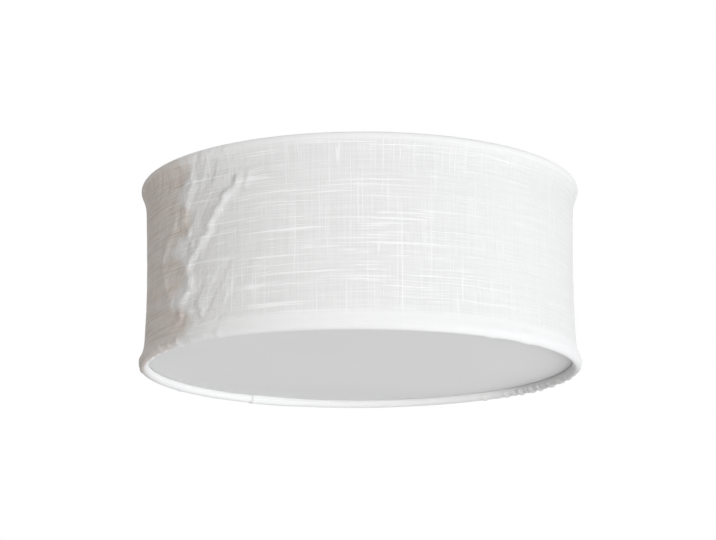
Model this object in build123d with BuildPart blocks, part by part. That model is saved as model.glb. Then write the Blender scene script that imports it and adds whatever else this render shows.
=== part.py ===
"""Flush mount ceiling light: a waisted linen drum shade on a pressed steel pan, lit by two lamps.

Millimetres. The ceiling is z = 0 and the light hangs below it. The origin is the middle of the
mounting bar's two ceiling slots, on the ceiling. The front of the light faces -Y.
"""

from build123d import *
import os
from math import asin, atan2, degrees, sqrt

os.makedirs("parts", exist_ok=True)

# ---------------------------------------------------------------- shade
shade_diameter = 400.0  # over the rolled edges
shade_height = 168.0
ceiling_gap = 5.0  # from the ceiling to the shade's top edge
waist_depth = 6.6  # how far the wall at mid height stands inside the rolled edges
waist_radius = 1300.0  # of the long hollow curve of the wall, seen in section
flare_radius = 40.0  # of the short curve that swings the linen out over each ring
ring_wire = 6.0
binding = 0.6  # cotton tape wound on each ring
tape_seam = 6.0  # degrees of a ring's section left bare where the tape's edges meet
linen = 0.5
liner = 0.35  # stiff white sheet glued behind the linen
glue_line = 0.05
cloth_gap = 0.15  # between the bound ring and the linen rolled round it
hem_end = 115.0  # degrees, from outwards, at which the turned-in linen ends on a ring
liner_stand = 0.25  # between the liner's edge and the bound ring

# ---------------------------------------------------------------- diffuser
diffuser_thickness = 2.0
diffuser_ease = 0.3  # all round, at the waist, so that the disc can be lifted
seat_gap = 0.2  # between pieces that rest on each other and move apart

# ---------------------------------------------------------------- ceiling pan and its bar
pan_rim_radius = 146.0
pan_wall_lean = 3.0  # how much narrower the pan's floor is than its rim
pan_flange = 4.0
pan_depth = 24.0
pan_sheet = 1.0
pan_bend = 4.0
bar_length = 116.0
bar_width = 25.0
bar_thickness = 2.0
bar_slot_spacing = 70.0
bar_slot_length = 14.0
bar_slot_width = 4.5
cable_hole_radius = 8.0
stud_radius = 2.0
stud_offset = 50.0  # from the centre, along the bar
stud_below_pan = 7.0
nut_radius = 5.6
nut_height = 9.0
nut_dome_radius = 4.5
nut_dome_round = 3.4
thread_gap = 0.1  # between a thread and its hole

# ---------------------------------------------------------------- shade fitter and its thumbscrews
fitter_band = 16.0
fitter_sheet = 1.5
arm_wire = 5.0
arm_angles = (30.0, 150.0, 270.0)
arm_level = 13.7  # length of an arm's level end, in from the ring's centre line
arm_rise_run = 17.0  # along the plan, between the two places where an arm turns
arm_bend = 8.0
arm_overlap = 12.0  # how far an arm lies under the fitter ring
hem_slit = 0.4  # between an arm and the cloth that is slit round it
screw_angles = (90.0, 210.0, 330.0)
screw_inset = 13.0  # of the screws' circle from the pan's wall
screw_thread = 2.0
screw_neck = 1.6  # relieved, so that the fitter's smaller hole keeps the screw
screw_neck_gap = 0.2
screw_reach = 9.0  # of the thread above the pan's underside
screw_head_radius = 8.0
screw_head_height = 9.0
screw_edge = 1.0  # chamfer of heads and thread ends
screw_flutes = 16
flute_radius = 1.0
bush_radius = 5.0
bush_neck = 3.0
bush_height = 6.0

# ---------------------------------------------------------------- lampholders
lamp_drop = 62.0  # from the ceiling to the lamps' axes
lamp_offset = 36.0  # from the centre line to each lamp's axis
holder_back = 68.0  # from the centre to the back of each holder, along its axis
holder_radius = 20.5
holder_rim_radius = 22.5
holder_rim = 6.0
holder_length = 46.0
holder_base = 12.0
holder_edge = 1.5  # chamfer round a holder's back
holder_flare = 2.0  # length of the step up to its rim
contact_gap = 0.3
contact_seat = 0.1
shell_bore = 13.45
shell_wall = 0.6
shell_gap = 0.2  # between the brass shell and the holder
shell_length = 28.5
contact_radius = 3.5
nipple_radius = 4.95
nipple_bore = 3.9
nipple_gap = 0.25
cord_bore = 2.9  # through a holder's floor
nipple_behind = 8.0
nipple_inside = 7.5
lead_inside = 6.0  # how far each lead runs into a holder
lock_nut_radius = 8.0
lock_nut_height = 3.0
bracket_sheet = 2.0
bracket_width = 26.0
bracket_foot = 32.0
bracket_tail = 14.0  # below the lamp's axis
bracket_bend = 3.0
bracket_screw_along = 22.0
bracket_screw_apart = 16.0
bracket_screw_radius = 1.9
bracket_screw_head = 3.6
bracket_screw_height = 2.4
bracket_screw_reach = 3.0  # above the pan's floor
shank_edge = 0.8  # chamfer at a screw's end

# ---------------------------------------------------------------- lamps
cap_radius = 13.2
cap_wall = 0.9
cap_length = 21.4
cap_insulator = 5.7  # from the centre contact's face to the metal of the cap
tip_radius = 4.8  # of the centre contact
tip_edge = 0.6
tip_height = 1.7
insulator_radius = 5.6  # where it leaves the centre contact
lamp_length = 108.0
globe_radius = 30.0
globe_wall = 1.5
globe_below_centre = 13.9  # from the globe's centre back to its seam with the housing
lamp_collar = 14.6
lamp_collar_length = 5.0
lamp_plug_gap = 0.5  # from the cap's open end to the housing's plug inside it
lamp_bulge = 0.8  # of the housing's flank, outside a straight cone

# ---------------------------------------------------------------- wiring
lead_radius = 1.1
lead_pitch = 2.6  # between the two leads of a pair
lead_bend = 6.6
lead_rise = {"a": 10.0, "b": 6.5}  # height of each pair's run above the pan's floor
lead_turn = 22.0  # from the block's middle to the nearer lead's run across the pan
lead_spread = 4.0  # from that run to the other
grommet_along = 18.0  # behind each holder
grommet_hole = 5.0
grommet_bore = 2.9
grommet_flange = 6.6
grommet_lip = 1.9
grommet_edge = 0.8
block_y = 52.0
block_length = 34.0
block_depth = 18.0
block_height = 15.0
pole_pitch = 10.0
pocket_width = 7.0
pocket_height = 10.5
pocket_depth = 5.0
block_screw_radius = 1.6
block_screw_row = 4.0
block_screw_sink = 3.5
block_corner = 1.5
block_slot_width = 0.5
block_slot_depth = 0.8
pocket_sill = 1.5  # of plastic left under each pocket
earth_rise = 3.0
earth_run = 44.0
earth_screw_radius = 2.0
earth_head_radius = 3.8
earth_head_height = 2.6
lug_sheet = 1.0
lug_tongue = 4.4  # width of the lug's tongue, which carries the crimped barrel
lug_barrel = 4.5  # its length
lug_wall = 1.1

# ---------------------------------------------------------------- worked out from the above
roll_radius = ring_wire / 2 + glue_line + binding + cloth_gap + linen
ring_radius = shade_diameter / 2 - roll_radius
shade_top = -ceiling_gap
shade_bottom = shade_top - shade_height
shade_middle = (shade_top + shade_bottom) / 2
top_ring_z = shade_top - roll_radius
bottom_ring_z = shade_bottom + roll_radius
waist_centre_x = shade_diameter / 2 - waist_depth + waist_radius
pan_underside = -pan_depth
pan_floor = pan_underside + pan_sheet
pan_floor_radius = pan_rim_radius - pan_wall_lean
screw_circle = pan_floor_radius - screw_inset
fitter_inner = screw_circle - fitter_band / 2
fitter_outer = screw_circle + fitter_band / 2
arm_rise_end = ring_radius - arm_level
arm_rise_start = arm_rise_end - arm_rise_run
fitter_top = pan_underside - seat_gap
fitter_underside = fitter_top - fitter_sheet
lamp_z = -lamp_drop


def wall_radius(inset, height):
    """Radius of the waisted wall at a height, for a face that lies inset behind the linen's face."""
    return waist_centre_x - sqrt((waist_radius + inset) ** 2 - (height - shade_middle) ** 2)


def flare_centre():
    """Centre of the curve that touches the bottom ring's roll and runs into the wall's long curve."""
    across = waist_centre_x - ring_radius
    up = shade_middle - bottom_ring_z
    apart = sqrt(across**2 + up**2)
    from_ring = roll_radius + flare_radius
    from_waist = waist_radius - flare_radius
    along = (from_ring**2 - from_waist**2 + apart**2) / (2 * apart)
    aside = sqrt(from_ring**2 - along**2)
    x = ring_radius + (along * across - aside * up) / apart
    z = bottom_ring_z + (along * up + aside * across) / apart
    return x, z


def save(piece, name):
    """Label a finished piece and write it under its own name."""
    piece.part.label = name
    export_step(piece.part, f"parts/{name}.step")


def turn(corners, plane=Plane.XZ, mode=Mode.ADD):
    """Revolve an outline of (radius, height) corners about the plane's own upright axis."""
    with BuildSketch(plane) as outline:
        with BuildLine():
            Polyline(*corners, close=True)
        make_face()
    revolve(outline.sketch, axis=Axis(plane.origin, plane.y_dir), mode=mode)


def upright(x, y, z=0.0):
    """A plane for turning: radius outwards along +X and height along +Z, about a spot on the plan."""
    return Plane(origin=(x, y, z), x_dir=(1, 0, 0), z_dir=(0, -1, 0))


def polar_spot(radius, angle):
    """The x and y of a place on a circle about the light's axis."""
    spot = Vector(radius, 0, 0).rotate(Axis.Z, angle)
    return spot.X, spot.Y


# ================================================================ linen cover
flare_x, flare_z = flare_centre()
leave_angle = degrees(atan2(flare_z - bottom_ring_z, flare_x - ring_radius))
flank_angle = degrees(atan2(shade_middle - flare_z, waist_centre_x - flare_x))


def cloth_line(inset):
    """The linen's face from hem to hem: roll, flare, waist, flare, roll, all meeting smoothly."""
    roll = roll_radius - inset
    flare = flare_radius + inset
    round_ring = 360 - hem_end + leave_angle
    CenterArc((ring_radius, bottom_ring_z), roll, hem_end - 360, round_ring)
    CenterArc((flare_x, flare_z), flare, 180 + leave_angle, flank_angle - leave_angle)
    CenterArc((waist_centre_x, shade_middle), waist_radius + inset, 180 + flank_angle, -2 * flank_angle)
    flare_top = 2 * shade_middle - flare_z
    CenterArc((flare_x, flare_top), flare, 180 - flank_angle, flank_angle - leave_angle)
    CenterArc((ring_radius, top_ring_z), roll, -leave_angle, round_ring)


def hem_ends(inset):
    """The two points at which the turned-in linen ends, on the bottom ring and on the top one."""
    reach = Vector(roll_radius - inset, 0, 0).rotate(Axis.Z, hem_end)
    low = (ring_radius + reach.X, bottom_ring_z + reach.Y)
    high = (ring_radius + reach.X, top_ring_z - reach.Y)
    return low, high


def slit_for_arms():
    """Cut away what lies within hem_slit of a fitter arm where it reaches the top ring."""
    for angle in arm_angles:
        start = polar_spot(arm_rise_end, angle)
        with Locations(Plane(origin=(*start, top_ring_z), z_dir=(*start, 0))):
            Cylinder(
                arm_wire / 2 + hem_slit,
                ring_radius - arm_rise_end,
                align=(Align.CENTER, Align.CENTER, Align.MIN),
                mode=Mode.SUBTRACT,
            )


with BuildPart() as linen_cover:
    with BuildSketch(Plane.XZ) as linen_section:
        with BuildLine():
            cloth_line(0)
            cloth_line(linen)
            for face_end, back_end in zip(hem_ends(0), hem_ends(linen)):
                Line(face_end, back_end)
        make_face()
    revolve(axis=Axis.Z)
    slit_for_arms()
save(linen_cover, "linen_cover")

# ================================================================ stiff liner behind the linen
liner_face = linen + glue_line
liner_back = liner_face + liner
liner_clear = ring_wire / 2 + glue_line + binding + liner_stand
liner_low = bottom_ring_z + liner_clear
liner_high = top_ring_z - liner_clear

with BuildPart() as shade_liner:
    with BuildSketch(Plane.XZ):
        with BuildLine():
            for inset in (liner_face, liner_back):
                ThreePointArc(
                    (wall_radius(inset, liner_low), liner_low),
                    (wall_radius(inset, shade_middle), shade_middle),
                    (wall_radius(inset, liner_high), liner_high),
                )
            for height in (liner_low, liner_high):
                Line((wall_radius(liner_face, height), height), (wall_radius(liner_back, height), height))
        make_face()
    revolve(axis=Axis.Z)
save(shade_liner, "shade_liner")

# ================================================================ wire rings and their bindings
with BuildPart() as top_ring:
    with BuildSketch(Plane.XZ):
        with Locations((ring_radius, top_ring_z)):
            Circle(ring_wire / 2)
    revolve(axis=Axis.Z)
save(top_ring, "top_ring")

with BuildPart() as bottom_ring:
    with BuildSketch(Plane.XZ):
        with Locations((ring_radius, bottom_ring_z)):
            Circle(ring_wire / 2)
    revolve(axis=Axis.Z)
save(bottom_ring, "bottom_ring")

binding_inside = ring_wire / 2 + glue_line


def bind_ring(height, seam_angle):
    """Tape wound round a ring's wire, its edges nearly meeting at the angle given."""
    start = seam_angle + tape_seam / 2
    with BuildSketch(Plane.XZ) as wound:
        with BuildLine():
            for radius in (binding_inside, binding_inside + binding):
                CenterArc((ring_radius, height), radius, start, 360 - tape_seam)
            for angle in (start, start - tape_seam):
                edge = Vector(1, 0).rotate(Axis.Z, angle)
                centre = Vector(ring_radius, height)
                Line(centre + edge * binding_inside, centre + edge * (binding_inside + binding))
        make_face()
    revolve(wound.sketch, axis=Axis.Z)


with BuildPart() as top_ring_binding:
    bind_ring(top_ring_z, -90)
    slit_for_arms()
save(top_ring_binding, "top_ring_binding")

with BuildPart() as bottom_ring_binding:
    bind_ring(bottom_ring_z, 90)
save(bottom_ring_binding, "bottom_ring_binding")

# ================================================================ shade fitter: flat ring and arms
with BuildPart() as fitter_ring:
    with BuildSketch(Plane.XY.offset(fitter_underside)):
        Circle(fitter_outer)
        Circle(fitter_inner, mode=Mode.SUBTRACT)
        for angle in screw_angles:
            with Locations(polar_spot(screw_circle, angle)):
                Circle(screw_neck + screw_neck_gap, mode=Mode.SUBTRACT)
    extrude(amount=fitter_sheet)
save(fitter_ring, "fitter_ring")

arm_z = fitter_underside - arm_wire / 2

with BuildPart() as fitter_arms:
    for angle in arm_angles:
        out_x, out_y = polar_spot(1, angle)
        arm_plane = Plane(origin=(0, 0, 0), x_dir=(out_x, out_y, 0), z_dir=(out_y, -out_x, 0))
        with BuildLine(arm_plane) as arm_path:
            FilletPolyline(
                (fitter_outer - arm_overlap, arm_z),
                (arm_rise_start, arm_z),
                (arm_rise_end, top_ring_z),
                (ring_radius, top_ring_z),
                radius=arm_bend,
            )
        with BuildSketch(Plane(origin=arm_path.line @ 0, z_dir=arm_path.line % 0)):
            Circle(arm_wire / 2)
        sweep(path=arm_path.line)
    add(top_ring.part, mode=Mode.SUBTRACT)
save(fitter_arms, "fitter_arms")

# ================================================================ diffuser
diffuser_radius = wall_radius(liner_back, shade_middle) - diffuser_ease
roll_rise = sqrt(roll_radius**2 - (ring_radius - diffuser_radius) ** 2)
diffuser_underside = bottom_ring_z + roll_rise + seat_gap

with BuildPart() as diffuser:
    with BuildSketch(Plane.XY.offset(diffuser_underside)):
        Circle(diffuser_radius)
    extrude(amount=diffuser_thickness)
    fillet(diffuser.edges().filter_by(GeomType.CIRCLE), diffuser_thickness / 5)
save(diffuser, "diffuser")

# ================================================================ mounting bar, its studs and nuts
with BuildPart() as mounting_bar:
    with BuildSketch(Plane.XY.offset(-bar_thickness)):
        SlotOverall(bar_length, bar_width)
        Circle(cable_hole_radius, mode=Mode.SUBTRACT)
        with GridLocations(bar_slot_spacing, 0, 2, 1):
            SlotOverall(bar_slot_length, bar_slot_width, mode=Mode.SUBTRACT)
        with GridLocations(2 * stud_offset, 0, 2, 1):
            Circle(stud_radius + glue_line, mode=Mode.SUBTRACT)
    extrude(amount=bar_thickness)
save(mounting_bar, "mounting_bar")

stud_low = pan_underside - stud_below_pan

with BuildPart() as bar_studs:
    with BuildSketch(Plane.XY.offset(stud_low)):
        with GridLocations(2 * stud_offset, 0, 2, 1):
            Circle(stud_radius)
    extrude(amount=-stud_low - glue_line)
save(bar_studs, "bar_studs")

with BuildPart() as dome_nuts:
    with BuildSketch(Plane.XY.offset(pan_underside)):
        with GridLocations(2 * stud_offset, 0, 2, 1):
            RegularPolygon(nut_radius, 6)
    extrude(amount=-nut_height / 2)
    with BuildSketch(Plane.XY.offset(pan_underside - nut_height / 2)):
        with GridLocations(2 * stud_offset, 0, 2, 1):
            Circle(nut_dome_radius)
    extrude(amount=-nut_height / 2)
    fillet(dome_nuts.edges().group_by(Axis.Z)[0], nut_dome_round)
    with BuildSketch(Plane.XY.offset(pan_underside)):
        with GridLocations(2 * stud_offset, 0, 2, 1):
            Circle(stud_radius + thread_gap)
    extrude(amount=-stud_below_pan - thread_gap, mode=Mode.SUBTRACT)
save(dome_nuts, "dome_nuts")

# ================================================================ ceiling pan
grommet_spots = [
    (-holder_back - grommet_along, lamp_offset),
    (holder_back + grommet_along, -lamp_offset),
]
bracket_screw_spots = [
    (side * (bracket_screw_along - holder_back), side * lamp_offset + step * bracket_screw_apart / 2)
    for side in (1, -1)
    for step in (-1, 1)
]
bush_spots = [polar_spot(screw_circle, angle) for angle in screw_angles]
earth_spot = (pole_pitch, block_y + earth_run)

with BuildPart() as ceiling_pan:
    with BuildSketch(Plane.XZ):
        with BuildLine():
            FilletPolyline(
                (0, pan_underside),
                (pan_floor_radius, pan_underside),
                (pan_rim_radius, -pan_sheet),
                (pan_rim_radius + pan_flange, -pan_sheet),
                radius=(pan_bend, pan_sheet * 2),
            )
            offset(amount=pan_sheet, side=Side.LEFT)
        make_face()
    revolve(axis=Axis.Z)
    with BuildSketch(Plane.XY.offset(pan_underside)):
        with GridLocations(2 * stud_offset, 0, 2, 1):
            Circle(stud_radius + 2 * thread_gap)
        with Locations(*grommet_spots):
            Circle(grommet_hole)
        with Locations(*bracket_screw_spots):
            Circle(bracket_screw_radius + thread_gap)
        with Locations(*bush_spots):
            Circle(bush_neck + thread_gap)
        with Locations(earth_spot):
            Circle(earth_screw_radius + thread_gap)
    extrude(amount=pan_sheet, mode=Mode.SUBTRACT)
save(ceiling_pan, "ceiling_pan")

# ================================================================ threaded bushes and thumbscrews
with BuildPart() as threaded_bushes:
    for spot in bush_spots:
        turn(
            [
                (screw_thread + thread_gap, pan_underside),
                (bush_neck, pan_underside),
                (bush_neck, pan_floor),
                (bush_radius, pan_floor),
                (bush_radius, pan_floor + bush_height),
                (screw_thread + thread_gap, pan_floor + bush_height),
            ],
            upright(*spot),
        )
save(threaded_bushes, "threaded_bushes")

head_top = fitter_underside - seat_gap
head_low = head_top - screw_head_height
thread_top = pan_underside + screw_reach
for number, spot in enumerate(bush_spots, 1):
    with BuildPart() as thumbscrew:
        turn(
            [
                (0, head_low),
                (screw_head_radius - screw_edge, head_low),
                (screw_head_radius, head_low + screw_edge),
                (screw_head_radius, head_top - screw_edge),
                (screw_head_radius - screw_edge, head_top),
                (screw_neck, head_top),
                (screw_neck, pan_underside),
                (screw_thread, pan_underside),
                (screw_thread, thread_top - screw_edge),
                (screw_thread - screw_edge, thread_top),
                (0, thread_top),
            ],
            upright(*spot),
        )
        with BuildSketch(Plane.XY.offset(head_low)):
            with Locations(spot):
                with PolarLocations(screw_head_radius + flute_radius / 2, screw_flutes):
                    Circle(flute_radius)
        extrude(amount=screw_head_height, mode=Mode.SUBTRACT)
    save(thumbscrew, f"thumbscrew_{number}")

# ================================================================ lampholders
# Each frame has its origin at the back of a holder, x upwards and y along the lamp's axis.
holder_frames = {
    "a": Plane(origin=(-holder_back, lamp_offset, lamp_z), x_dir=(0, 0, 1), z_dir=(0, 1, 0)),
    "b": Plane(origin=(holder_back, -lamp_offset, lamp_z), x_dir=(0, 0, 1), z_dir=(0, -1, 0)),
}
holder_bore = shell_bore + shell_wall + shell_gap
shell_outside = shell_bore + shell_wall
mouth_start = holder_length - holder_rim
foot_top = pan_underside - lamp_z

with BuildPart() as holder_brackets:
    for frame in holder_frames.values():
        with BuildSketch(frame):
            with BuildLine():
                FilletPolyline(
                    (-bracket_tail, 0),
                    (foot_top - bracket_sheet, 0),
                    (foot_top - bracket_sheet, bracket_foot),
                    radius=bracket_bend,
                )
                offset(amount=bracket_sheet, side=Side.RIGHT)
            make_face()
        extrude(amount=bracket_width / 2, both=True)
        bore = nipple_radius + nipple_gap
        turn(
            [(0, -bracket_sheet), (bore, -bracket_sheet), (bore, 0), (0, 0)],
            frame,
            Mode.SUBTRACT,
        )
    with BuildSketch(Plane.XY.offset(pan_underside)):
        with Locations(*bracket_screw_spots):
            Circle(bracket_screw_radius + thread_gap)
    extrude(amount=-bracket_sheet, mode=Mode.SUBTRACT)
save(holder_brackets, "holder_brackets")

foot_underside = pan_underside - bracket_sheet

with BuildPart() as bracket_screws:
    for spot in bracket_screw_spots:
        turn(
            [
                (0, foot_underside - bracket_screw_height),
                (bracket_screw_head / 2, foot_underside - bracket_screw_height),
                (bracket_screw_head, foot_underside - bracket_screw_height / 2),
                (bracket_screw_head, foot_underside),
                (bracket_screw_radius, foot_underside),
                (bracket_screw_radius, pan_floor + bracket_screw_reach - shank_edge),
                (bracket_screw_radius - shank_edge, pan_floor + bracket_screw_reach),
                (0, pan_floor + bracket_screw_reach),
            ],
            upright(*spot),
        )
save(bracket_screws, "bracket_screws")

with BuildPart() as lampholder_bodies:
    for frame in holder_frames.values():
        turn(
            [
                (nipple_radius + nipple_gap, 0),
                (holder_radius - holder_edge, 0),
                (holder_radius, holder_edge),
                (holder_radius, mouth_start - holder_flare),
                (holder_rim_radius, mouth_start),
                (holder_rim_radius, holder_length - holder_edge),
                (holder_rim_radius - holder_edge, holder_length),
                (holder_bore + 2 * holder_edge, holder_length),
                (holder_bore + holder_edge, mouth_start + holder_flare),
                (holder_bore, mouth_start + holder_flare),
                (holder_bore, holder_base),
                (cord_bore, holder_base),
                (cord_bore, nipple_inside + nipple_gap),
                (nipple_radius + nipple_gap, nipple_inside + nipple_gap),
            ],
            frame,
        )
save(lampholder_bodies, "lampholder_bodies")

shell_start = holder_base + shell_gap

with BuildPart() as screw_shells:
    for frame in holder_frames.values():
        turn(
            [
                (shell_bore * 2 / 3, shell_start),
                (shell_outside, shell_start),
                (shell_outside, shell_start + shell_length),
                (shell_bore, shell_start + shell_length),
                (shell_bore, shell_start + shell_wall),
                (shell_bore * 2 / 3, shell_start + shell_wall),
            ],
            frame,
        )
save(screw_shells, "screw_shells")

contact_top = shell_start + 3 * shell_wall - contact_gap

with BuildPart() as centre_contacts:
    for frame in holder_frames.values():
        turn(
            [
                (0, holder_base + contact_seat),
                (contact_radius, holder_base + contact_seat),
                (contact_radius, contact_top - tip_edge),
                (contact_radius - tip_edge, contact_top),
                (0, contact_top),
            ],
            frame,
        )
save(centre_contacts, "centre_contacts")

with BuildPart() as holder_nipples:
    for frame in holder_frames.values():
        turn(
            [
                (nipple_bore, -nipple_behind),
                (nipple_radius, -nipple_behind),
                (nipple_radius, nipple_inside),
                (nipple_bore, nipple_inside),
            ],
            frame,
        )
save(holder_nipples, "holder_nipples")

with BuildPart() as holder_lock_nuts:
    for frame in holder_frames.values():
        nut_face = frame.origin - frame.y_dir * bracket_sheet
        with BuildSketch(Plane(origin=nut_face, x_dir=(0, 0, 1), z_dir=-frame.y_dir)):
            RegularPolygon(lock_nut_radius, 6)
            Circle(nipple_radius + thread_gap, mode=Mode.SUBTRACT)
        extrude(amount=lock_nut_height)
save(holder_lock_nuts, "holder_lock_nuts")

# ================================================================ lamps
lamp_start = contact_top + contact_gap  # the face of the lamp's centre contact
cap_start = lamp_start + cap_insulator
cap_end = cap_start + cap_length
globe_centre = lamp_start + lamp_length - globe_radius
globe_seam = globe_centre - globe_below_centre
seam_radius = sqrt(globe_radius**2 - globe_below_centre**2)
plug_radius = cap_radius - cap_wall
plug_start = cap_start + lamp_plug_gap
collar_end = cap_end + lamp_collar_length

for letter, frame in holder_frames.items():
    lamp_axis = Axis(frame.origin, frame.y_dir)

    with BuildPart() as lamp_contact:
        turn(
            [
                (0, lamp_start),
                (tip_radius - tip_edge, lamp_start),
                (tip_radius, lamp_start + tip_edge),
                (tip_radius, lamp_start + tip_height),
                (0, lamp_start + tip_height),
            ],
            frame,
        )
    save(lamp_contact, f"lamp_{letter}_contact")

    with BuildPart() as lamp_insulator:
        turn(
            [
                (0, lamp_start + tip_height),
                (insulator_radius, lamp_start + tip_height),
                (plug_radius, cap_start),
                (plug_radius, plug_start),
                (0, plug_start),
            ],
            frame,
        )
    save(lamp_insulator, f"lamp_{letter}_insulator")

    with BuildPart() as lamp_cap:
        turn(
            [
                (plug_radius, cap_start),
                (cap_radius, cap_start + cap_wall),
                (cap_radius, cap_end),
                (plug_radius, cap_end),
            ],
            frame,
        )
    save(lamp_cap, f"lamp_{letter}_cap")

    with BuildPart() as lamp_housing:
        with BuildSketch(frame):
            with BuildLine():
                Polyline(
                    (0, globe_seam),
                    (0, plug_start),
                    (plug_radius, plug_start),
                    (plug_radius, cap_end),
                    (cap_radius + lamp_plug_gap, cap_end),
                    (lamp_collar, collar_end),
                )
                bulge = (
                    (lamp_collar + seam_radius) / 2 + lamp_bulge,
                    (collar_end + globe_seam) / 2,
                )
                ThreePointArc((lamp_collar, collar_end), bulge, (seam_radius, globe_seam))
                Line((seam_radius, globe_seam), (0, globe_seam))
            make_face()
        revolve(axis=lamp_axis)
    save(lamp_housing, f"lamp_{letter}_housing")

    inner_radius = globe_radius - globe_wall
    outer_start = -degrees(asin(globe_below_centre / globe_radius))
    inner_start = -degrees(asin(globe_below_centre / inner_radius))
    inner_seam = sqrt(inner_radius**2 - globe_below_centre**2)
    with BuildPart() as lamp_globe:
        with BuildSketch(frame):
            with BuildLine():
                CenterArc((0, globe_centre), globe_radius, outer_start, 90 - outer_start)
                CenterArc((0, globe_centre), inner_radius, inner_start, 90 - inner_start)
                Line((seam_radius, globe_seam), (inner_seam, globe_seam))
                Line((0, globe_centre + inner_radius), (0, globe_centre + globe_radius))
            make_face()
        revolve(axis=lamp_axis)
    save(lamp_globe, f"lamp_{letter}_globe")

# ================================================================ grommets, terminal block, earth
with BuildPart() as lead_grommets:
    for spot in grommet_spots:
        turn(
            [
                (grommet_bore, pan_underside - grommet_lip),
                (grommet_flange - grommet_edge, pan_underside - grommet_lip),
                (grommet_flange, pan_underside - grommet_lip / 2),
                (grommet_flange, pan_underside),
                (grommet_hole - thread_gap, pan_underside),
                (grommet_hole - thread_gap, pan_floor),
                (grommet_flange, pan_floor),
                (grommet_flange, pan_floor + grommet_lip / 2),
                (grommet_flange - grommet_edge, pan_floor + grommet_lip),
                (grommet_bore, pan_floor + grommet_lip),
            ],
            upright(*spot),
        )
save(lead_grommets, "lead_grommets")

block_top = pan_floor + block_height
block_back = block_y + block_depth / 2
pole_spots = [(-pole_pitch, block_y), (0, block_y), (pole_pitch, block_y)]
pocket_z = pan_floor + pocket_sill + pocket_height / 2

with BuildPart() as terminal_block:
    with BuildSketch(Plane.XY.offset(pan_floor)):
        with Locations((0, block_y)):
            RectangleRounded(block_length, block_depth, block_corner)
    extrude(amount=block_height)
    with BuildSketch(Plane.XY.offset(block_top)):
        with Locations(*pole_spots):
            with GridLocations(0, 2 * block_screw_row, 1, 2):
                Circle(block_screw_radius + thread_gap)
    extrude(amount=-block_screw_sink, mode=Mode.SUBTRACT)
    for side in (1, -1):
        face_y = block_y + side * block_depth / 2
        with BuildSketch(Plane(origin=(0, face_y, pocket_z), x_dir=(1, 0, 0), z_dir=(0, side, 0))):
            with GridLocations(pole_pitch, 0, 3, 1):
                Rectangle(pocket_width, pocket_height)
        extrude(amount=-pocket_depth, mode=Mode.SUBTRACT)
save(terminal_block, "terminal_block")

with BuildPart() as terminal_screws:
    with BuildSketch(Plane.XY.offset(block_top - block_screw_sink)):
        with Locations(*pole_spots):
            with GridLocations(0, 2 * block_screw_row, 1, 2):
                Circle(block_screw_radius)
    extrude(amount=block_screw_sink - 1)
    with BuildSketch(Plane.XY.offset(block_top - 1)):
        with Locations(*pole_spots):
            with GridLocations(0, 2 * block_screw_row, 1, 2):
                Rectangle(3 * block_screw_radius, block_slot_width)
    extrude(amount=-block_slot_depth, mode=Mode.SUBTRACT)
save(terminal_screws, "terminal_screws")

earth_z = pan_floor + earth_rise
lug_top = pan_floor + lug_sheet
lug_end = earth_spot[1] - earth_head_radius - lug_sheet

with BuildPart() as earth_lug:
    with BuildSketch(Plane.XY.offset(pan_floor)):
        with Locations(earth_spot):
            Circle(earth_head_radius + lug_sheet)
        with Locations((earth_spot[0], lug_end)):
            Rectangle(lug_tongue, 2 * lug_barrel)
        with Locations(earth_spot):
            Circle(earth_screw_radius + thread_gap, mode=Mode.SUBTRACT)
    extrude(amount=lug_sheet)
    with BuildSketch(Plane(origin=(earth_spot[0], lug_end, earth_z), z_dir=(0, -1, 0))):
        Circle(lead_radius + lug_wall)
        Circle(lead_radius + glue_line, mode=Mode.SUBTRACT)
    extrude(amount=lug_barrel)
save(earth_lug, "earth_lug")

with BuildPart() as earth_screw:
    turn(
        [
            (0, pan_underside),
            (earth_screw_radius, pan_underside),
            (earth_screw_radius, lug_top),
            (earth_head_radius, lug_top),
            (earth_head_radius, lug_top + earth_head_height / 2),
            (earth_head_radius / 2, lug_top + earth_head_height),
            (0, lug_top + earth_head_height),
        ],
        upright(*earth_spot),
    )
save(earth_screw, "earth_screw")

# ================================================================ leads
pocket_floor = block_back - pocket_depth


def lead(points, bends):
    """Sweep one lead along straight runs joined by bends of the radii given."""
    with BuildLine() as route:
        FilletPolyline(*points, radius=bends)
    with BuildSketch(Plane(origin=route.line @ 0, z_dir=route.line % 0)) as end:
        Circle(lead_radius)
    sweep(end.sketch, path=route.line)


def holder_lead(letter, pole_x, outer):
    """A lead from a pole of the block, over the pan and down its grommet to the back of a holder."""
    side = 1 if letter == "a" else -1
    height = pan_floor + lead_rise[letter]
    lean = lead_pitch / 2 if outer else -lead_pitch / 2
    start_x = pole_x - side * lead_pitch / 2
    across_y = block_y + lead_turn + (lead_spread if outer else 0)
    down_x = -side * (holder_back + grommet_along + lean)
    down_y = side * lamp_offset
    in_z = lamp_z - lean
    last_bend = lead_bend + 2 + (lead_pitch if outer else 0)
    lead(
        [
            (start_x, pocket_floor, height),
            (start_x, across_y, height),
            (down_x, across_y, height),
            (down_x, down_y, height),
            (down_x, down_y, in_z),
            (-side * (holder_back - lead_inside), down_y, in_z),
        ],
        (lead_bend, 2 * lead_bend, lead_bend, last_bend),
    )


with BuildPart() as live_leads:
    holder_lead("a", -pole_pitch, outer=False)
    holder_lead("b", -pole_pitch, outer=True)
save(live_leads, "live_leads")

with BuildPart() as neutral_leads:
    holder_lead("a", 0, outer=True)
    holder_lead("b", 0, outer=False)
save(neutral_leads, "neutral_leads")

with BuildPart() as earth_lead:
    with BuildSketch(Plane(origin=(pole_pitch, pocket_floor, earth_z), z_dir=(0, 1, 0))):
        Circle(lead_radius)
    extrude(amount=lug_end - pocket_floor)
save(earth_lead, "earth_lead")

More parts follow.
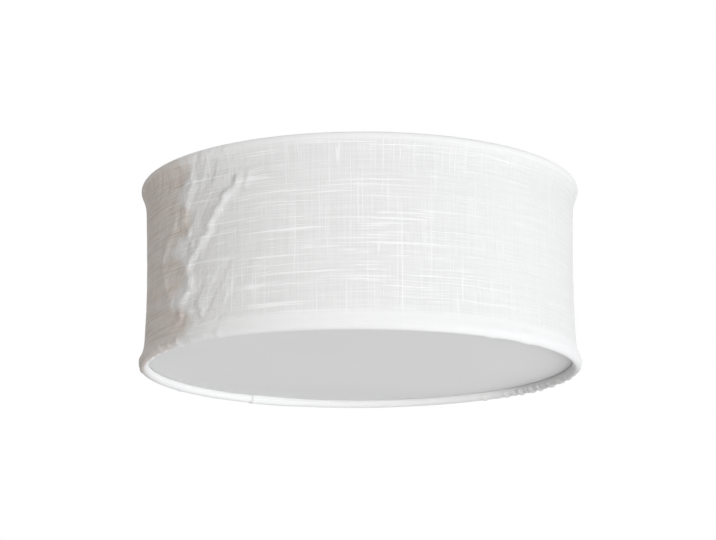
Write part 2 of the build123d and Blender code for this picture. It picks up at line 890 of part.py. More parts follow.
print("lead bends", lead_bend, 2 * lead_bend, lead_bend + 2, lead_bend + 2 + lead_pitch)
print("diffuser radius", round(diffuser_radius, 2), "underside", round(diffuser_underside, 2))
print("roll", roll_radius, "leave", round(leave_angle, 2), "flank", round(flank_angle, 2))
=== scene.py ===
"""Looks of the flush mount ceiling light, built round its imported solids.

Metres, in the part's own frame: the ceiling is z = 0, the light hangs below it and its front faces -Y.
"""

import math

import bpy
import numpy as np
from bpy.props import FloatProperty, FloatVectorProperty, IntProperty, PointerProperty
from mathutils import Matrix, Vector


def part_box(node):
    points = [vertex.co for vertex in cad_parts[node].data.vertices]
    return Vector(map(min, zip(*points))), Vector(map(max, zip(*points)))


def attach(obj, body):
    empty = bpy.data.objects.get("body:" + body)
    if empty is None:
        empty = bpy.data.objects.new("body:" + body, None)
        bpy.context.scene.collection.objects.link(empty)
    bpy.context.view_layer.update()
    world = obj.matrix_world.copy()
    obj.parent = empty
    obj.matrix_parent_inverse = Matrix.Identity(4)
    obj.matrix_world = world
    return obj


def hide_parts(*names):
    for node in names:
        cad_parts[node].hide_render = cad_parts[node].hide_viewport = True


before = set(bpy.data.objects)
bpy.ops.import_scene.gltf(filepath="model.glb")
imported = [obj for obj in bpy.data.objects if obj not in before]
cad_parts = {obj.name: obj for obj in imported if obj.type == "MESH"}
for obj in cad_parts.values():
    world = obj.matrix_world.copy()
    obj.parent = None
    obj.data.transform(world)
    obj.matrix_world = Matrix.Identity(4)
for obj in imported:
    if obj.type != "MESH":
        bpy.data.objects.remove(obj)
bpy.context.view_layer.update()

bl_info = {
    "name": "Linen drum ceiling light",
    "version": (1, 0, 0),
    "blender": (4, 5, 0),
    "location": "View3D > Sidebar > Drum light",
    "description": "Builds the linen, finishes and studio of a flush mount drum light",
    "category": "Object",
}

# ---------------------------------------------------------------- places read from the solids
cover_low, cover_high = (Vector(corner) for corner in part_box("linen_cover"))
wire_low, wire_high = (Vector(corner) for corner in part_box("top_ring"))
edge_radius = cover_high.x
wire_radius = (wire_high.z - wire_low.z) / 2
ring_radius = wire_high.x - wire_radius
roll_radius = edge_radius - ring_radius
low_ring_z = cover_low.z + roll_radius
high_ring_z = cover_high.z - roll_radius
middle_z = (cover_low.z + cover_high.z) / 2

# Creases of the linen: the line that each follows, as (degrees round the drum, height), how far it
# stands off, and how wide it is on the side of smaller angles and on the other side.
CREASES = [
    (
        [(-122.3, -0.038), (-123.4, -0.043), (-126.2, -0.050), (-128.6, -0.060), (-130.6, -0.068)],
        0.0036,
        0.0023,
        0.0040,
    ),
    (
        [
            (-127.8, -0.058),
            (-130.9, -0.070),
            (-131.9, -0.079),
            (-136.3, -0.094),
            (-139.9, -0.108),
            (-138.8, -0.114),
            (-137.4, -0.123),
            (-140.0, -0.129),
            (-143.0, -0.137),
            (-141.6, -0.145),
        ],
        0.0028,
        0.0062,
        0.0032,
    ),
    (
        [
            (-137.3, -0.030),
            (-138.8, -0.040),
            (-140.4, -0.050),
            (-141.1, -0.062),
            (-139.4, -0.070),
            (-139.0, -0.077),
            (-136.7, -0.091),
        ],
        0.0018,
        0.0080,
        0.0029,
    ),
    (
        [
            (-144.6, -0.062),
            (-147.9, -0.076),
            (-150.8, -0.085),
            (-153.0, -0.095),
            (-151.0, -0.106),
            (-150.2, -0.115),
            (-145.8, -0.134),
        ],
        0.0018,
        0.0090,
        0.0028,
    ),
    ([(-118.6, -0.034), (-120.4, -0.043)], 0.0014, 0.0026, 0.0030),
    ([(-134.5, -0.139), (-134.0, -0.149)], 0.0016, 0.0034, 0.0045),
    ([(-138.5, -0.146), (-143.5, -0.151)], 0.0014, 0.0040, 0.0030),
    ([(-116.5, -0.108), (-117.5, -0.120)], 0.0006, 0.0040, 0.0060),
    ([(-119.0, -0.132), (-118.0, -0.142)], 0.0006, 0.0040, 0.0050),
]

# Puckers of the bottom hem: degrees round the drum, how far each stands off and how wide it is.
PUCKERS = [
    (51.9, 0.0010, 0.0022),
    (47.5, 0.0005, 0.0030),
    (44.0, 0.0009, 0.0024),
    (40.8, 0.0007, 0.0014),
    (38.2, 0.0014, 0.0020),
    (35.4, 0.0007, 0.0013),
    (33.4, 0.0015, 0.0022),
    (29.8, 0.0016, 0.0016),
    (27.6, 0.0007, 0.0012),
    (23.9, 0.0014, 0.0026),
    (19.2, 0.0009, 0.0013),
    (17.4, 0.0010, 0.0016),
    (12.4, 0.0011, 0.0030),
    (7.0, 0.0006, 0.0018),
    (2.5, 0.0007, 0.0034),
    (-43.8, 0.0009, 0.0060),
    (-55.7, 0.0008, 0.0050),
    (-127.0, 0.0005, 0.0030),
    (-136.5, 0.0006, 0.0022),
    (-141.8, 0.0010, 0.0020),
    (-146.0, 0.0007, 0.0016),
    (-151.0, 0.0011, 0.0026),
    (-156.2, 0.0008, 0.0019),
    (-162.0, 0.0010, 0.0030),
    (-169.5, 0.0008, 0.0028),
    (178.0, 0.0007, 0.0035),
    (150.0, 0.0006, 0.0030),
]

# The bottom hem hangs a little lower at the front: degrees at its middle, half width and its drop.
HEM_SAG = (-52.0, 62.0, 0.0019)

# Slow ripples of the wall: waves to one turn of the drum, radians to the metre of height, and start.
RIPPLES = [(3, 40, 0.0), (7, -23, 1.3), (13, 61, 0.7)]
RIPPLE_RISE = 0.00009

# Fine crumpling on the left: degrees at its middle, half width and how far it stands off.
CRUMPLE = (-150, 26, 0.00022)

# Stretches of the drum whose cloth needs a finer mesh: degrees at their middle, half width and by
# how much finer it is.
FINE_STRETCHES = [(-136.0, 24.0, 1.1), (25.0, 26.0, 2.2)]

# Degrees round the drum at which the cloth's lap starts, and of the arms that it is slit for.
SEAM_DEGREES = 119
ARM_DEGREES = (30, 150, 270)
SLIT_REACH = 0.0029

# Points of the cloth's section on a ring, on a flare and along the waist.
ROLL_POINTS, FLARE_POINTS, WAIST_POINTS = 20, 9, 46

# Streaks of the linen's thread: cells of noise to the metre of length and of width, and a seed.
WEFT_THREADS = (14.0, 1000.0, 1.7)
WARP_THREADS = (14.0, 1000.0, 4.1)
WEFT_SLUBS = (20.0, 780.0, 8.3)
WARP_SLUBS = (27.0, 720.0, 3.9)
LONG_WEFT_SLUBS = (10.0, 520.0, 5.2)
LONG_WARP_SLUBS = (11.0, 600.0, 9.6)
# Streaks in the painted warm shade on the left.
LEFT_SHADE_STREAKS = (18.0, 300.0, 6.6)

# The painted warm shade's edge on the left swings to and fro: its height at the start of a swing, a swing's
# length and reach.
LEFT_SHADE_WAVE = (0.09825, 0.045, 0.006)

# Painted shade in the gathers inside the right end of the bottom hem.
GATHER_SHADE = (0.53, 0.53, 0.53)

# Painted shade of the hem on the disc, which darkens it towards its rim: radii at which that starts and ends,
# and its colour.
HEM_SHADE_ON_DISC = (0.185, 0.1925, (0.70, 0.70, 0.70))

# Soft lamps: degrees to the right of the front, metres out and height, then size and colour.
LAMPS = {
    "front": ((25, 2.6, -0.95), 1.4, (0.985, 1.0, 1.018)),
    "left": ((-42, 2.6, -0.95), 0.9, (1.025, 0.98, 0.945)),
    "right": ((100, 2.6, -0.95), 1.4, (0.99, 1.0, 1.01)),
    "back": ((188, 2.6, 0.7), 2.0, (1.0, 1.0, 1.0)),
    "top": ((20, 0.8, 2.4), 1.8, (1.0, 1.0, 1.0)),
}

FLOOR_REACH = 4.8
FLOOR_CORNERS = 96


class LinenSettings(bpy.types.PropertyGroup):
    """Sizes and colours of the linen."""

    thickness: FloatProperty(name="Thickness", description="Of the cloth", default=0.0005, unit="LENGTH")
    flare: FloatProperty(
        name="Flare", description="Radius that swings the cloth out over a ring", default=0.040, unit="LENGTH"
    )
    waist: FloatProperty(
        name="Waist", description="Radius of the wall's long hollow", default=1.300, unit="LENGTH"
    )
    waist_depth: FloatProperty(
        name="Waist depth",
        description="Of the wall at mid height, from the edges",
        default=0.0066,
        unit="LENGTH",
    )
    hem_end: FloatProperty(
        name="Hem end",
        description="Angle on a ring at which the cloth ends",
        default=math.radians(115),
        subtype="ANGLE",
    )
    hem_band: FloatProperty(
        name="Hem band", description="Of plainer cloth above the bottom roll", default=0.0055, unit="LENGTH"
    )
    lap: FloatProperty(
        name="Lap", description="Of the cloth's ends at the back", default=0.015, unit="LENGTH"
    )
    columns: IntProperty(name="Columns", description="Of the mesh, round the drum", default=480, min=60)
    thread: FloatProperty(
        name="Thread", description="Pitch of the weave", default=0.0011, unit="LENGTH", precision=5
    )
    dark: FloatVectorProperty(
        name="Gaps", description="Between threads", default=(0.722, 0.718, 0.713), size=3, subtype="COLOR"
    )
    light: FloatVectorProperty(
        name="Threads", description="Plain threads", default=(0.84, 0.839, 0.837), size=3, subtype="COLOR"
    )
    slub: FloatVectorProperty(
        name="Slubs",
        description="Thick places in threads",
        default=(0.93, 0.93, 0.93),
        size=3,
        subtype="COLOR",
    )
    neck: FloatVectorProperty(
        name="Neck",
        description="Bleached cloth above the bottom roll",
        default=(0.93, 0.93, 0.93),
        size=3,
        subtype="COLOR",
    )
    # Colour of the painted warm shade on the left of the wall.
    warm_shade: FloatVectorProperty(
        name="Warm shade",
        description="Painted warm shade on the left",
        default=(0.67, 0.60, 0.545),
        size=3,
        subtype="COLOR",
    )


class StudioSettings(bpy.types.PropertyGroup):
    """Where the camera stands and how strong the lamps are."""

    distance: FloatProperty(
        name="Distance", description="From the camera to the drum's middle", default=2.164, unit="LENGTH"
    )
    below: FloatProperty(
        name="Below", description="How far the camera looks up", default=math.radians(12.8), subtype="ANGLE"
    )
    aim_across: FloatProperty(
        name="Aim across",
        description="Of the camera off the drum",
        default=math.radians(0.05),
        subtype="ANGLE",
    )
    aim_up: FloatProperty(
        name="Aim up", description="Of the camera off the drum", default=math.radians(0.26), subtype="ANGLE"
    )
    roll: FloatProperty(name="Roll", description="Of the camera", default=math.radians(0.25), subtype="ANGLE")
    lens: FloatProperty(
        name="Lens", description="Focal length in millimetres", default=119.16, unit="CAMERA"
    )
    air: FloatVectorProperty(
        name="Air", description="Light from all round", default=(0.352, 0.351, 0.350), size=3, subtype="COLOR"
    )
    front: FloatProperty(name="Front", description="Power of the front lamp", default=43.9, unit="POWER")
    left: FloatProperty(name="Left", description="Power of the left lamp", default=11.4, unit="POWER")
    right: FloatProperty(name="Right", description="Power of the right lamp", default=26.0, unit="POWER")
    top: FloatProperty(name="Top", description="Power of the lamp overhead", default=24.0, unit="POWER")
    back: FloatProperty(name="Back", description="Power of the lamp behind", default=14.0, unit="POWER")
    floor_z: FloatProperty(name="Floor", description="Its height", default=-3.2, unit="LENGTH")
    whiteness: FloatProperty(
        name="Whiteness",
        description="Share of white in how the camera sees the floor",
        default=0.75,
        subtype="FACTOR",
    )
    paper: FloatVectorProperty(
        name="Paper",
        description="Colour of the floor",
        default=(0.86, 0.86, 0.86),
        size=3,
        subtype="COLOR",
    )


# ---------------------------------------------------------------- finishes
class Wire:
    """A node's output on which sums are written as plain expressions."""

    def __init__(self, nodes, socket):
        self.nodes = nodes
        self.socket = socket

    def sum(self, operation, first, second):
        """A Math node's result."""
        return self.nodes.add("ShaderNodeMath", {"operation": operation}, {0: first, 1: second})

    def __add__(self, other):
        return self.sum("ADD", self, other)

    def __radd__(self, other):
        return self.sum("ADD", other, self)

    def __sub__(self, other):
        return self.sum("SUBTRACT", self, other)

    def __rsub__(self, other):
        return self.sum("SUBTRACT", other, self)

    def __mul__(self, other):
        return self.sum("MULTIPLY", self, other)

    def __rmul__(self, other):
        return self.sum("MULTIPLY", other, self)

    def sine(self):
        return self.sum("SINE", self, 0.0)


class Nodes:
    """A node tree, and the one way in which nodes are put into it."""

    def __init__(self, tree):
        self.tree = tree

    def add(self, kind, settings=None, sockets=None, output=0):
        """Adds a node: its settings come first, then the values and links of its sockets."""
        node = self.tree.nodes.new(kind)
        for name, value in (settings or {}).items():
            setattr(node, name, value)
        self.plug(node, sockets or {})
        return Wire(self, node.outputs[output])

    def plug(self, node, sockets):
        """Links or sets a node's sockets."""
        for name, value in sockets.items():
            if isinstance(value, Wire):
                self.tree.links.new(value.socket, node.inputs[name])
            else:
                node.inputs[name].default_value = value

    def seen_as_paper(self):
        """1 on rays of the camera, of gloss and through glass, and 0 on rays that carry light."""
        kinds = ("Is Camera Ray", "Is Glossy Ray", "Is Transmission Ray")
        rays = [self.add("ShaderNodeLightPath", output=kind) for kind in kinds]
        return 1.0 - (1.0 - rays[0]) * (1.0 - rays[1]) * (1.0 - rays[2])


class Finish(Nodes):
    """A procedural material: patterns that vary over a piece, and a surface shader that shows them."""

    def __init__(self, name, fixed):
        self.material = bpy.data.materials.new(name)
        self.material.use_nodes = True
        super().__init__(self.material.node_tree)
        self.shader = self.tree.nodes["Principled BSDF"]
        self.plug(self.shader, fixed)

    def place(self):
        """The point on the piece, in metres."""
        return self.add("ShaderNodeTexCoord", output="Object")

    def part(self, vector, axis):
        """One coordinate of a vector."""
        return self.add("ShaderNodeSeparateXYZ", sockets={0: vector}, output=axis)

    def point(self, x, y, z=0.0):
        """A vector from three numbers or wires."""
        return self.add("ShaderNodeCombineXYZ", sockets={0: x, 1: y, 2: z})

    def stretch(self, vector, x, y, z):
        """A vector with each coordinate multiplied."""
        return self.add("ShaderNodeVectorMath", {"operation": "MULTIPLY"}, {0: vector, 1: (x, y, z)})

    def noise(self, vector, scale=1.0, detail=2.0):
        """Smooth noise from about 0.2 to 0.8, with so many cells to the metre."""
        sockets = {"Vector": vector, "Scale": scale, "Detail": detail}
        return self.add("ShaderNodeTexNoise", sockets=sockets)

    def band(self, value, low, high):
        """0 below low, 1 above high and a smooth step between."""
        return self.add(
            "ShaderNodeMapRange",
            {"interpolation_type": "SMOOTHSTEP"},
            {"Value": value, "From Min": low, "From Max": high},
        )

    def blend(self, share, first, second):
        """A mix of two colours."""
        first, second = (c if isinstance(c, Wire) else (*c[:3], 1.0) for c in (first, second))
        return self.add("ShaderNodeMix", {"data_type": "RGBA"}, {0: share, 6: first, 7: second}, 2)

    def show(self, colour, roughness, height=None, depth=0.0, strength=1.0, **others):
        """Connects a colour, a roughness and a height in depths to the surface."""
        sockets = {"Base Color": colour, "Roughness": roughness}
        if height is not None:
            bump = {"Height": height, "Distance": depth, "Strength": strength}
            sockets["Normal"] = self.add("ShaderNodeBump", sockets=bump)
        sockets.update({name.replace("_", " "): value for name, value in others.items()})
        self.plug(self.shader, sockets)
        return self.material


class LinenFinish(Finish):
    """Slubbed plain weave on the cloth's own map, in metres: across is round the drum, up is along it.

    Each thread is a streak of noise, a slub is where a streak's noise is highest, and the weave is
    the product of two sine waves. The pattern fades out over the rolled hems, which are plain.
    Painted warm shade darkens the left of the wall, painted light flattens and lightens its right,
    and painted shade greys the gathers inside the bottom hem.
    """

    def __init__(self, linen):
        super().__init__("linen", {"Sheen Weight": 0.2, "Sheen Roughness": 0.5, "Specular IOR Level": 0.2})
        self.linen = linen
        self.spot = self.add("ShaderNodeUVMap", {"uv_map": "cloth"})
        self.x, self.y, self.z = (self.part(self.place(), axis) for axis in range(3))
        self.edge_to_edge = self.part(self.spot, 1)
        self.across = self.part(self.spot, 0) + self.noise(self.spot, 28.0) * 0.0018
        self.up = self.edge_to_edge + self.noise(self.stretch(self.spot, 22.0, 22.0, 1.0)) * 0.0030
        self.roll = roll_length(linen)
        self.worn = self.noise(self.spot, 55.0)

    def weft(self, streaks, detail=1.0):
        """Noise drawn out round the drum."""
        length, width, seed = streaks
        return self.noise(self.point(self.across * length, self.up * width, seed), 1.0, detail)

    def warp(self, streaks, detail=1.0):
        """Noise drawn out from hem to hem."""
        length, width, seed = streaks
        return self.noise(self.point(self.across * width, self.up * length, seed), 1.0, detail)

    def threads(self):
        """The sum of fine weft and fine warp, each from 0 to a half."""
        fine_weft = 0.5 * self.band(self.weft(WEFT_THREADS), 0.3, 0.7)
        return fine_weft + 0.5 * self.band(self.warp(WARP_THREADS), 0.3, 0.7)

    def slubs(self):
        """1 where any of four kinds of thick thread runs: short and long ones each way."""
        thick = self.band(self.noise(self.spot, 34.0), 0.36, 0.62)
        weft = self.band(self.weft(WEFT_SLUBS), 0.57, 0.70) * thick
        warp = self.band(self.warp(WARP_SLUBS), 0.60, 0.72) * (1.15 - thick) * 0.75
        long_weft = self.band(self.weft(LONG_WEFT_SLUBS, 0.0), 0.67, 0.76)
        long_warp = self.band(self.warp(LONG_WARP_SLUBS, 0.0), 0.69, 0.80) * 0.75
        return 1.0 - (1.0 - weft) * (1.0 - warp) * (1.0 - long_weft) * (1.0 - long_warp)

    def weave(self):
        """The product of a sine wave each way, one thread long."""
        turn = 2 * math.pi / self.linen.thread
        return (self.across * turn).sine() * (self.up * turn).sine()

    def outside(self):
        """1 where the cloth has turned to the outside of the bottom ring."""
        return self.band(self.edge_to_edge, 0.46 * self.roll, 0.57 * self.roll)

    def low_band(self):
        """1 above the plain band over the bottom roll."""
        start = self.roll + self.linen.hem_band
        return self.band(self.edge_to_edge, start, start + 0.006)

    def woven(self):
        """1 on the wall, where the weave shows, and less on the hems."""
        far_roll = ring_to_ring_length(self.linen) - self.roll
        high_band = 1.0 - self.band(self.edge_to_edge, far_roll - 0.003, far_roll + 0.001)
        # On the left the wall's colour, with its painted warm shade, also covers the outside of the rolls.
        left = self.band(0.0 - self.x, 0.105, 0.150)
        return 1.0 - (1.0 - self.low_band() * high_band) * (1.0 - 0.9 * left * self.outside()) * 0.85

    def left_shade(self):
        """1 in the painted warm shade on the left, which ends in a wandering edge and stays in front."""
        wave = ((self.z + LEFT_SHADE_WAVE[0]) * (2 * math.pi / LEFT_SHADE_WAVE[1])).sine() * LEFT_SHADE_WAVE[2]
        edge = self.x + wave + 0.022 * self.noise(self.place(), 21.0) + 0.012 * self.noise(self.place(), 90.0)
        behind = self.band(self.y + 0.05 * self.noise(self.place(), 14.0), 0.030, 0.085)
        return (1.0 - self.band(edge, -0.142, -0.131)) * (1.0 - behind) * self.outside()

    def wall_colour(self, threads, slubs, weave, left_shade):
        """Threads, slubs and the painted warm shade on the left; painted light fades the threads and slubs
        and lightens the cloth to the right.
        """
        linen = self.linen
        open_patch = self.band(self.noise(self.spot, 16.0), 0.40, 0.66)
        # The weave is flattened everywhere and more towards the right, where the cloth also lightens: painted
        # light.
        flatter_and_painted_light = 0.5 + 0.5 * self.band(self.x, 0.05, 0.16)
        grid = threads + 0.24 * weave * (0.3 + open_patch)
        plain = self.blend(grid * (1.0 - flatter_and_painted_light) + flatter_and_painted_light * (0.55 + 0.45 * grid), linen.dark, linen.light)
        # Painted warm shade on the left, streaked, with its slubs a darker brown.
        streak = self.band(self.weft(LEFT_SHADE_STREAKS, 2.0), 0.42, 0.60)
        plain = self.blend(left_shade * (0.62 + 0.33 * streak), plain, linen.warm_shade)
        slub_colour = self.blend(left_shade, linen.slub, [0.74 * channel for channel in linen.warm_shade])
        # Painted light: the slubs fade towards the right.
        painted_light_fade = 1.0 - 0.55 * self.band(self.x, 0.03, 0.15)
        return self.blend(slubs * (0.98 - 0.45 * left_shade) * painted_light_fade, plain, slub_colour)

    def hem_colour(self):
        """Plain cloth, with painted shade greying the gathers inside the right end of the bottom hem."""
        light = self.linen.light
        hem = self.blend(self.worn, [0.97 * channel for channel in light], light)
        # Painted shade of the gathers, mottled by the random tone.
        gather_shade = self.band(self.x, 0.120, 0.165) * self.band(self.y, -0.055, 0.020)
        gather_shade = gather_shade * (1.0 - self.band(self.edge_to_edge, 0.60 * self.roll, 0.80 * self.roll))
        return self.blend(gather_shade * (0.75 + 0.25 * self.worn), hem, GATHER_SHADE)

    def neck(self, left_shade):
        """1 on the bleached cloth just above the bottom roll."""
        neck = self.band(self.edge_to_edge, 0.84 * self.roll, 1.04 * self.roll) * (1.0 - left_shade)
        return neck * (1.0 - self.band(self.edge_to_edge, self.roll + 0.005, self.roll + 0.019))

    def crumple(self):
        """Sharp folds along the crests of a slanted noise, on the left."""
        along = 0.50 * self.across + 0.86 * self.up
        beside = 0.86 * self.across - 0.50 * self.up
        folds = self.noise(self.point(along * 17.0, beside * 52.0, 2.2), 1.0, 2.0) - 0.5
        ridge = 1.0 - 5.0 * self.add("ShaderNodeMath", {"operation": "ABSOLUTE"}, {0: folds})
        on_left = self.band(0.0 - self.x, 0.080, 0.135) * (0.25 + 0.75 * self.low_band())
        return self.band(ridge, 0.0, 1.0) * on_left

    def finish(self):
        """The material, with its colour and its height in metres."""
        threads, slubs, weave = self.threads(), self.slubs(), self.weave()
        woven, left_shade = self.woven(), self.left_shade()
        colour = self.blend(woven, self.hem_colour(), self.wall_colour(threads, slubs, weave, left_shade))
        colour = self.blend(0.35 * self.neck(left_shade), colour, self.linen.neck)
        height = (0.00016 * threads + 0.00022 * slubs + 0.00009 * weave) * woven
        height = height + 0.0011 * self.crumple() + 0.0002 * self.worn
        return self.show(colour, 0.85, height, 1.0, 0.8)


def tape_finish():
    """Herringbone tape: a diagonal wave that turns back on itself every few threads."""
    tape = Finish("cotton_tape", {"Sheen Weight": 0.2, "Specular IOR Level": 0.25})
    spot = tape.place()
    x, y, z = (tape.part(spot, axis) for axis in range(3))
    round_ring = tape.add("ShaderNodeMath", {"operation": "ARCTAN2"}, {0: y, 1: x}) * ring_radius
    zigzag = tape.add("ShaderNodeMath", {"operation": "PINGPONG"}, {0: round_ring, 1: 0.004})
    rib = ((z + zigzag) * (2 * math.pi / 0.0009)).sine()
    colour = tape.blend(0.5 + 0.4 * rib, (0.78, 0.77, 0.75), (0.90, 0.89, 0.87))
    return tape.show(colour, 0.9, rib, 0.0002, 0.6)


def sheet_finish():
    """Smooth white sheet with a faint mottle and the fine scratches of handling."""
    sheet = Finish("liner_sheet", {})
    spot = sheet.place()
    mottle = sheet.noise(spot, 30.0)
    scratch = sheet.band(sheet.noise(sheet.stretch(spot, 40.0, 40.0, 1800.0)), 0.62, 0.72)
    colour = sheet.blend(mottle, (0.86, 0.86, 0.85), (0.91, 0.91, 0.905))
    return sheet.show(colour, 0.42 + 0.2 * scratch, scratch + mottle, 0.00008, 0.5)


def enamel_finish(name, colour, texture):
    """Powder coat: fine orange peel and a little unevenness of tone, darker in places."""
    paint = Finish(name, {"Coat Roughness": 0.2})
    spot = paint.place()
    peel = paint.noise(spot, texture, 1.0)
    tone = paint.noise(spot, 18.0)
    darker = [0.93 * channel for channel in colour]
    shade = paint.blend(paint.band(tone, 0.3, 0.7), darker, colour)
    return paint.show(shade, 0.34 + 0.12 * tone, peel, 0.0003, 0.35, Coat_Weight=0.2 + 0.1 * peel)


def plate_finish(name, dark, light, roughness, scale=(60.0, 60.0, 900.0)):
    """Plated or turned metal: streaks along one way, over a slow change of tone."""
    plate = Finish(name, {"Metallic": 1.0})
    spot = plate.place()
    streak = plate.noise(plate.stretch(spot, *scale))
    cloud = plate.noise(spot, 45.0)
    colour = plate.blend(plate.band(0.5 * streak + 0.5 * cloud, 0.35, 0.65), dark, light)
    return plate.show(colour, roughness + 0.22 * streak * cloud, streak, 0.00006, 0.4)


def threaded_finish(name, axis_point, dark, light):
    """Plated metal with a round thread: a sine wave that climbs one pitch in each turn about X, with painted
    shade in its grooves.
    """
    cap = Finish(name, {"Metallic": 1.0})
    spot = cap.place()
    x, y, z = (cap.part(spot, axis) for axis in range(3))
    off_axis = {0: z - axis_point[2], 1: y - axis_point[1]}
    turned = cap.add("ShaderNodeMath", {"operation": "ARCTAN2"}, off_axis)
    wave = (x * (2 * math.pi / 0.00363) + turned).sine()
    worn = cap.noise(spot, 400.0)
    # Painted shade: the colour darkens in the thread's grooves and lightens on its crests.
    colour = cap.blend(0.5 + 0.35 * wave, dark, light)
    return cap.show(colour, 0.26 + 0.2 * worn, 0.5 + 0.5 * wave, 0.0008, 0.9)


def moulded_finish(name, dark, light, roughness, grain=2600.0):
    """Moulded plastic: a fine spark grain, and a slow change of tone."""
    plastic = Finish(name, {})
    spot = plastic.place()
    tone = plastic.noise(spot, 25.0)
    grains = plastic.noise(spot, grain, 1.0)
    colour = plastic.blend(plastic.band(tone, 0.3, 0.7), dark, light)
    return plastic.show(colour, roughness + 0.15 * grains, grains, 0.00008, 0.5)


def sleeve_finish(name, main, stripe, stripe_share):
    """Sleeved lead: a stripe along it, laid on by which side of the lead's own line it is."""
    sleeve = Finish(name, {})
    spot = sleeve.place()
    side = sleeve.part(spot, 0) * 4200.0
    line = sleeve.band(side.sine(), 1.0 - 2.0 * stripe_share, 1.2 - 2.0 * stripe_share)
    dust = sleeve.noise(spot, 300.0)
    colour = sleeve.blend(line * (0.8 + 0.2 * dust), main, stripe)
    return sleeve.show(colour, 0.4 + 0.2 * dust, dust, 0.00005, 0.4)


def opal_finish():
    """Opal sheet: a satin face with a very fine grain, a slow cloudiness, a few wiping marks and painted
    shade of the hem towards its rim.
    """
    opal = Finish("opal_acrylic", {"IOR": 1.49})
    spot = opal.place()
    cloud = opal.noise(spot, 5.0, 1.0)
    grain = opal.noise(spot, 3200.0, 1.0)
    wipe = opal.noise(opal.stretch(spot, 6.0, 60.0, 1.0))
    colour = opal.blend(opal.band(cloud, 0.25, 0.75), (0.768, 0.768, 0.768), (0.797, 0.797, 0.797))
    out = opal.add("ShaderNodeVectorMath", {"operation": "LENGTH"}, {0: opal.stretch(spot, 1.0, 1.0, 0.0)}, 1)
    # Painted shade: the disc darkens towards its rim, where the hem shades it.
    colour = opal.blend(opal.band(out, HEM_SHADE_ON_DISC[0], HEM_SHADE_ON_DISC[1]), colour, HEM_SHADE_ON_DISC[2])
    return opal.show(colour, 0.46 + 0.14 * wipe, grain, 0.00003, 0.35)


def dress(finish, *names):
    """Gives CAD nodes a finish in their own material slots."""
    for name in names:
        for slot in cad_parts[name].material_slots:
            slot.material = finish


# ---------------------------------------------------------------- the linen
def leave_and_flank(linen):
    """Angles at which the cloth leaves a ring's roll, and at which its flare runs into the waist.

    The flare's centre is roll plus flare away from the ring's and waist less flare away from the
    waist's, so it's where two circles cross.
    """
    waist_x = edge_radius - linen.waist_depth + linen.waist
    across = waist_x - ring_radius
    up = middle_z - low_ring_z
    apart = math.hypot(across, up)
    from_ring = roll_radius + linen.flare
    from_waist = linen.waist - linen.flare
    along = (from_ring**2 - from_waist**2 + apart**2) / (2 * apart)
    aside = math.sqrt(from_ring**2 - along**2)
    flare_x = ring_radius + (along * across - aside * up) / apart
    flare_z = low_ring_z + (along * up + aside * across) / apart
    leave = math.atan2(flare_z - low_ring_z, flare_x - ring_radius)
    flank = math.atan2(middle_z - flare_z, waist_x - flare_x)
    return leave, flank, (flare_x, flare_z), (waist_x, middle_z)


def roll_length(linen):
    """Length of cloth on a ring, from the hem's end to where it leaves the roll."""
    leave = leave_and_flank(linen)[0]
    return roll_radius * (2 * math.pi - linen.hem_end + leave)


def ring_to_ring_length(linen):
    """Length of cloth from one hem's end to the other's."""
    leave, flank, _, _ = leave_and_flank(linen)
    return 2 * roll_length(linen) + 2 * linen.flare * (leave - flank) + linen.waist * 2 * flank


def arc(centre, radius, start, sweep, count):
    """Points of an arc: the centre, plus the radius times cosine and sine of even steps of angle."""
    angle = start + sweep * np.linspace(0, 1, count)
    return np.stack([centre[0] + radius * np.cos(angle), centre[1] + radius * np.sin(angle)], axis=1)


def section_line(linen):
    """The cloth's section from hem to hem as (radius, height) points: five arcs that meet smoothly."""
    leave, flank, flare_centre, waist_centre = leave_and_flank(linen)
    half_turn = math.pi
    hem_start = linen.hem_end - 2 * math.pi
    wrapped = 2 * math.pi - linen.hem_end + leave
    high_flare = (flare_centre[0], 2 * middle_z - flare_centre[1])
    arcs = [
        arc((ring_radius, low_ring_z), roll_radius, hem_start, wrapped, ROLL_POINTS),
        arc(flare_centre, linen.flare, half_turn + leave, flank - leave, FLARE_POINTS)[1:],
        arc(waist_centre, linen.waist, half_turn + flank, -2 * flank, WAIST_POINTS)[1:],
        arc(high_flare, linen.flare, half_turn - flank, flank - leave, FLARE_POINTS)[1:],
        arc((ring_radius, high_ring_z), roll_radius, -leave, wrapped, ROLL_POINTS)[1:],
    ]
    return np.concatenate(arcs)


def away_from(angle, degrees):
    """Angles measured from a direction, from minus half a turn to half a turn."""
    return np.mod(angle - math.radians(degrees) + math.pi, 2 * math.pi) - math.pi


def off_line(round_wall, height, line, left, right):
    """How far off a crease each point is: a bell curve of the distance to its broken line.

    The bell is as wide as left on the side of smaller angles and as right on the other, which gives
    a fold one steep and one easy side.
    """
    corners = np.array([(math.radians(degrees) * ring_radius, z) for degrees, z in line])
    nearest = np.full(round_wall.shape, np.inf)
    side = np.zeros(round_wall.shape)
    for start, end in zip(corners[:-1], corners[1:]):
        run = end - start
        share = ((round_wall - start[0]) * run[0] + (height - start[1]) * run[1]) / (run @ run)
        share = np.clip(share, 0, 1)
        off_x = round_wall - start[0] - share * run[0]
        off_z = height - start[1] - share * run[1]
        distance = np.hypot(off_x, off_z)
        closer = distance < nearest
        nearest = np.where(closer, distance, nearest)
        side = np.where(closer, off_x, side)
    width = np.where(side < 0, left, right)
    return np.exp(-((nearest / width) ** 2))


